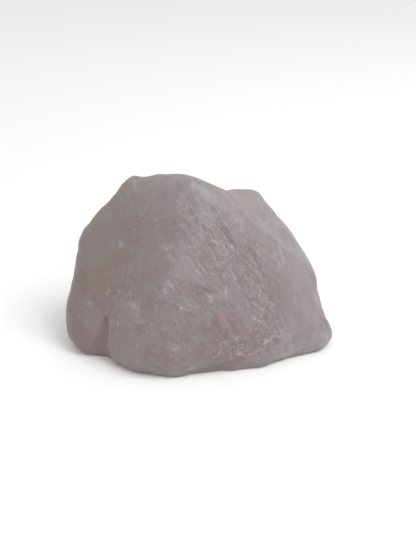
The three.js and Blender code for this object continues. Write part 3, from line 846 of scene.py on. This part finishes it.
class Recipe:
    """Short names for the nodes that the stone's material is mixed from."""

    def __init__(self, material):
        material.use_nodes = True
        self.tree = material.node_tree
        self.shader = self.tree.nodes["Principled BSDF"]
        self.place = self.node("ShaderNodeTexCoord").outputs["Object"]
        self.ragged = self.shaken(self.place, 0.3, 0.3)

    def node(self, kind, **settings):
        node = self.tree.nodes.new(kind)
        for name, value in settings.items():
            setattr(node, name, value)
        return node

    def feed(self, socket, value):
        """Sets a socket to a number or a colour, or links another node's output to it."""
        if isinstance(value, bpy.types.NodeSocket):
            self.tree.links.new(value, socket)
        else:
            socket.default_value = value

    def mask(self, name):
        return self.node("ShaderNodeAttribute", attribute_name=name).outputs["Fac"]

    def combine(self, operation, a, b):
        node = self.node("ShaderNodeMath", operation=operation)
        self.feed(node.inputs[0], a)
        self.feed(node.inputs[1], b)
        return node.outputs[0]

    def product(self, value, *others):
        """All the masks multiplied together."""
        for other in others:
            value = self.combine("MULTIPLY", value, other)
        return value

    def fade(self, value, low, high, to_low=0.0, to_high=1.0):
        """A soft step from `to_low`, where the value is `low`, to `to_high`, where it is `high`."""
        node = self.node("ShaderNodeMapRange", interpolation_type="SMOOTHSTEP")
        self.feed(node.inputs["Value"], value)
        self.feed(node.inputs["From Min"], low)
        self.feed(node.inputs["From Max"], high)
        self.feed(node.inputs["To Min"], to_low)
        self.feed(node.inputs["To Max"], to_high)
        return node.outputs[0]

    def mix(self, share, under, over):
        """Lays one colour over another: a Mix node takes colours in at 6 and 7 and gives one at 2."""
        node = self.node("ShaderNodeMix", data_type="RGBA")
        self.feed(node.inputs[0], share)
        self.feed(node.inputs[6], under)
        self.feed(node.inputs[7], over)
        return node.outputs[2]

    def cloud(self, size, detail=3, roughness=0.55, place=None, curl=0.0):
        """Noise whose lumps are about `size` millimetres across."""
        node = self.node("ShaderNodeTexNoise")
        self.feed(node.inputs["Vector"], place or self.place)
        self.feed(node.inputs["Scale"], 1 / (size * MM))
        self.feed(node.inputs["Detail"], detail)
        self.feed(node.inputs["Roughness"], roughness)
        self.feed(node.inputs["Distortion"], curl)
        return node.outputs["Fac"]

    def contour(self, value, width):
        """Thin curling lines, where a noise passes through its middle value."""
        off_middle = self.combine("ABSOLUTE", self.combine("SUBTRACT", value, 0.5), 0)
        return self.fade(off_middle, width, 0)

    def stretched(self, direction, length):
        """Coordinates in which patterns come out `length` times longer along a direction."""
        node = self.node("ShaderNodeMapping", vector_type="TEXTURE")
        self.feed(node.inputs["Vector"], self.place)
        self.feed(node.inputs["Rotation"], direction.to_track_quat("X", "Z").to_euler())
        self.feed(node.inputs["Scale"], (length, 1, 1))
        return node.outputs[0]

    def shaken(self, place, size, reach, detail=2):
        """Coordinates moved about by up to `reach` millimetres, which makes borders ragged."""
        shake = self.node("ShaderNodeTexNoise")
        self.feed(shake.inputs["Vector"], place)
        self.feed(shake.inputs["Scale"], 1 / (size * MM))
        self.feed(shake.inputs["Detail"], detail)
        shift = self.node("ShaderNodeVectorMath", operation="MULTIPLY_ADD")
        self.feed(shift.inputs[0], shake.outputs["Color"])
        self.feed(shift.inputs[1], (reach * MM, reach * MM, reach * MM))
        self.feed(shift.inputs[2], place)
        return shift.outputs[0]

    def crystals(self, size, place, reach):
        """A random level for each cell of a mosaic whose borders are moved by up to `reach` millimetres."""
        mosaic = self.node("ShaderNodeTexVoronoi")
        self.feed(mosaic.inputs["Vector"], self.shaken(place, 0.8 * size, reach, 3))
        self.feed(mosaic.inputs["Scale"], 1 / (size * MM))
        levels = self.node("ShaderNodeSeparateColor")
        self.feed(levels.inputs[0], mosaic.outputs["Color"])
        return levels.outputs[0]

    def palette(self, level, colours):
        """A colour picked by a 0 to 1 level from an evenly spaced row of colours."""
        node = self.node("ShaderNodeValToRGB")
        stops = node.color_ramp.elements
        for i in range(1, len(colours) - 1):
            stops.new(i / (len(colours) - 1))
        for stop, colour in zip(stops, colours):
            stop.color = colour
        self.feed(node.inputs[0], level)
        return node.outputs[0]

    def specks(self, spacing, share, radius):
        """Scattered dots in a share of the cells of a mosaic, the biggest `radius` millimetres."""
        node = self.node("ShaderNodeTexVoronoi")
        self.feed(node.inputs["Vector"], self.ragged)
        self.feed(node.inputs["Scale"], 1 / (spacing * MM))
        chosen = self.node("ShaderNodeSeparateColor")
        self.feed(chosen.inputs[0], node.outputs["Color"])
        size = self.fade(chosen.outputs[0], self.combine("SUBTRACT", 1, share), 1, 0.0, radius / spacing)
        return self.fade(self.combine("SUBTRACT", size, node.outputs["Distance"]), 0, 0.08)


# The hues of neighbouring crystals: rose, sage, lilac, plum, pale and mauve
CRYSTAL_HUES = [
    (0.235, 0.174, 0.177, 1),
    (0.238, 0.214, 0.205, 1),
    (0.26, 0.215, 0.23, 1),
    (0.211, 0.154, 0.158, 1),
    (0.275, 0.245, 0.243, 1),
    (0.215, 0.17, 0.184, 1),
]

# Stains in the quartz, the lowest first: mask, strength, colour. The dark brown and some mauve strokes are
# partly painted shade.
STAINS = [
    ("taupe", 0.85, (0.225, 0.195, 0.178, 1)),
    ("mauve", 0.8, (0.212, 0.186, 0.19, 1)),
    ("moss", 0.8, (0.252, 0.238, 0.218, 1)),
    ("rust", 0.85, (0.225, 0.168, 0.156, 1)),
    ("pink", 0.75, (0.21, 0.154, 0.161, 1)),
    ("rose", 0.65, (0.238, 0.183, 0.187, 1)),
    ("tan", 0.9, (0.256, 0.178, 0.157, 1)),
    ("umber_and_shade", 0.85, (0.204, 0.15, 0.142, 1)),
    ("cream", 0.75, (0.279, 0.255, 0.248, 1)),
    ("ash", 0.8, (0.248, 0.229, 0.231, 1)),
    ("haze", 0.75, (0.282, 0.266, 0.267, 1)),
]


class Quartz(Recipe):
    """Milky quartz, coloured in layers: each method below lays its marks over the colour so far."""

    def __init__(self, material):
        super().__init__(material)
        self.busy = self.mask("busy")
        self.veil = self.cloud(1.5, 3, 0.5)
        self.curd = self.cloud(0.7, 2, 0.5)
        self.patchy = self.fade(self.cloud(1.6, 2), 0.42, 0.56)
        self.flow = self.stretched(GRAIN, 2.2)
        self.patch = self.cloud(0.6, 3, 0.6, self.flow, 0.8)
        least = self.fade(self.busy, 0, 1, 0.2, 0)
        most = self.fade(self.busy, 0, 1, 0.8, 1)
        self.grain = self.fade(self.cloud(0.3, 1), 0, 1, least, most)
        self.colour = (0.23, 0.192, 0.192, 1)

    def lay(self, colour, *masks):
        """Lays a colour over what is there, as strongly as all the masks together say."""
        self.colour = self.mix(self.product(*masks), self.colour, colour)

    def stain(self, name, low=0.2, high=0.95):
        """A painted mask with its border broken up by the veils."""
        level = self.combine("ADD", self.mask(name), self.fade(self.veil, 0.3, 0.7, -0.25, 0.25))
        return self.fade(level, low, high)

    def body(self):
        """Broad clouds, rosy and greenish patches, and a darker ground for the busy parts."""
        self.lay((0.25, 0.21, 0.212, 1), self.fade(self.cloud(6), 0.35, 0.65))
        hue = self.cloud(2.2, 2, 0.5, curl=0.4)
        self.lay((0.236, 0.188, 0.196, 1), self.fade(hue, 0.5, 0.68, 0.0, 0.6))
        self.lay((0.236, 0.212, 0.2, 1), self.fade(hue, 0.5, 0.32, 0.0, 0.6))
        self.lay((0.228, 0.18, 0.184, 1), self.busy, 0.75)

    def mosaic(self):
        """Crystal faces, each of its own hue, with dark and pale flakes between them."""
        grown = self.fade(self.mask("hackly"), 0.1, 0.7, 0.12, 1)
        self.lay(self.palette(self.crystals(2.4, self.flow, 1.5), CRYSTAL_HUES), grown, 0.55)
        self.lay(self.palette(self.crystals(1, self.flow, 0.8), CRYSTAL_HUES), self.busy, 0.5)
        self.lay((0.185, 0.135, 0.14, 1), self.fade(self.patch, 0.47, 0.4), self.busy, 0.35)
        self.lay((0.29, 0.262, 0.25, 1), self.fade(self.patch, 0.55, 0.6), self.busy, 0.4)

    def stains(self):
        """Broad mauve, taupe, pink, rust and pale stains, with painted shade in the dark brown and some of
        the mauve.
        """
        for name, strength, colour in STAINS:
            self.lay(colour, self.stain(name), strength)

    def mist_and_curls(self):
        """Pale mist over the hackly parts, pale curls, and a fine hatch on the pink bands."""
        mist = self.fade(self.cloud(1.3, 5, 0.68), 0.51, 0.57)
        banks = self.fade(self.cloud(4, 2), 0.4, 0.6)
        self.lay((0.31, 0.285, 0.285, 1), mist, banks, self.mask("hackly"), 0.3)
        curls = self.contour(self.cloud(0.75, 2, 0.5, self.flow, 1.5), 0.05)
        broken = self.fade(self.cloud(1.3, 2), 0.46, 0.58)
        self.lay((0.34, 0.312, 0.305, 1), curls, broken, self.busy, 0.3)
        across = self.stretched(Vector((0.5, -0.3, 0.8)), 8)
        hatch = self.contour(self.cloud(0.5, 1, 0.5, across), 0.06)
        self.lay((0.34, 0.3, 0.3, 1), hatch, self.stain("pink"), self.busy, 0.3)

    def streaks(self):
        """Pale and dark needles along the grain in the busy parts, and fine streaks across it."""
        needles = self.cloud(0.3, 1, 0.5, self.stretched(GRAIN, 5), 0.4)
        self.lay((0.35, 0.32, 0.315, 1), self.fade(needles, 0.56, 0.68), self.busy, self.patchy, 0.7)
        self.lay((0.16, 0.112, 0.118, 1), self.fade(needles, 0.43, 0.32), self.busy, 0.5)
        fine = self.cloud(0.25, 2, 0.55, self.stretched(SLANT, 6), 0.3)
        streaked = self.mask("streaked")
        self.lay((0.35, 0.31, 0.31, 1), self.fade(fine, 0.54, 0.66), streaked, self.patchy, 0.7)
        self.lay((0.17, 0.122, 0.12, 1), self.fade(fine, 0.46, 0.34), streaked, 0.3)

    def curds(self):
        """A faint curdled light and dark all over."""
        self.lay((0.3, 0.275, 0.275, 1), self.fade(self.curd, 0.5, 0.7), 0.16)
        self.lay((0.18, 0.145, 0.145, 1), self.fade(self.curd, 0.5, 0.3), 0.16)

    def lenses(self):
        """The lilac patches and the salmon lens, with crisper borders than the stains."""
        self.lay((0.256, 0.212, 0.226, 1), self.stain("lilac", 0.4, 0.65), 0.85)
        self.lay((0.268, 0.198, 0.186, 1), self.stain("orange", 0.35, 0.7), 0.75)

    def pale_edges(self):
        """Frosted and white edges, curdled and crumbly, where the crystals are crushed."""
        crumb = self.fade(self.cloud(0.45, 3, 0.65), 0.4, 0.56, self.fade(self.busy, 0, 1, 0.7, 0.3), 1)
        cloudy = self.product(self.fade(self.curd, 0.35, 0.6, 0.6, 1), crumb)
        self.lay((0.296, 0.284, 0.285, 1), self.stain("frost"), cloudy, 0.85)
        self.lay((0.345, 0.313, 0.308, 1), self.stain("white", 0.3, 0.85), cloudy, 0.9)

    def cracks_and_grain(self):
        """Hair cracks along the grain, and a fine pale and dark grain all over."""
        thread = self.cloud(0.8, 2, 0.5, self.stretched(GRAIN, 4), 0.5)
        here_and_there = self.fade(self.cloud(1.7, 2), 0.5, 0.6)
        self.lay((0.13, 0.09, 0.095, 1), self.contour(thread, 0.014), here_and_there, self.busy, 0.6)
        self.lay((0.36, 0.33, 0.325, 1), self.fade(self.grain, 0.5, 0.75, 0.0, 0.14))
        self.lay((0.16, 0.125, 0.12, 1), self.fade(self.grain, 0.5, 0.25, 0.0, 0.14))

    def pit_shade_and_glints(self):
        """Dark dots painted as the shade in pits, and painted highlights, nearly white, on small crystal
        faces.
        """
        # painted shade: dark dots for the pits
        pits = self.specks(0.8, self.fade(self.mask("pitted"), 0, 1, 0.03, 0.7), 0.22)
        self.lay((0.1, 0.065, 0.06, 1), pits, 0.7)
        # painted highlights on small crystal faces
        painted_glints = self.specks(0.6, self.fade(self.mask("painted_sparkle"), 0, 1, 0, 0.7), 0.18)
        self.lay((0.52, 0.5, 0.49, 1), self.combine("MAXIMUM", painted_glints, self.mask("painted_glint")), 0.7)

    def skin(self):
        """The shader itself: the colour, a satin gloss, a fine bump and a little light let in."""
        self.feed(self.shader.inputs["Base Color"], self.colour)
        chalky = self.combine("ADD", self.curd, self.stain("white"))
        self.feed(self.shader.inputs["Roughness"], self.fade(chalky, 0.4, 1.6, 0.42, 0.6))
        grit = self.combine("ADD", self.product(self.grain, 0.2), self.product(self.patch, self.busy))
        bump = self.node("ShaderNodeBump")
        self.feed(bump.inputs["Strength"], 0.5)
        self.feed(bump.inputs["Distance"], 0.25 * MM)
        self.feed(bump.inputs["Height"], grit)
        self.feed(self.shader.inputs["Normal"], bump.outputs[0])
        self.shader.inputs["IOR"].default_value = 1.54
        self.shader.inputs["Subsurface Weight"].default_value = 0.5
        self.shader.inputs["Subsurface Radius"].default_value = (1.0, 0.7, 0.65)
        self.shader.inputs["Subsurface Scale"].default_value = 0.6 * MM


def milky_quartz():
    """Cloudy quartz: mauve, with veils of white, pink and rust stains and a sugary, streaky front."""
    material = bpy.data.materials.new("milky_quartz")
    quartz = Quartz(material)
    quartz.body()
    quartz.mosaic()
    quartz.stains()
    quartz.mist_and_curls()
    quartz.streaks()
    quartz.curds()
    quartz.lenses()
    quartz.pale_edges()
    quartz.cracks_and_grain()
    quartz.pit_shade_and_glints()
    quartz.skin()
    return material


set_camera()
light_studio()
lay_floor()
stone = make_stone()
stone.data.materials.append(milky_quartz())
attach(stone, "root")
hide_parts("stone")
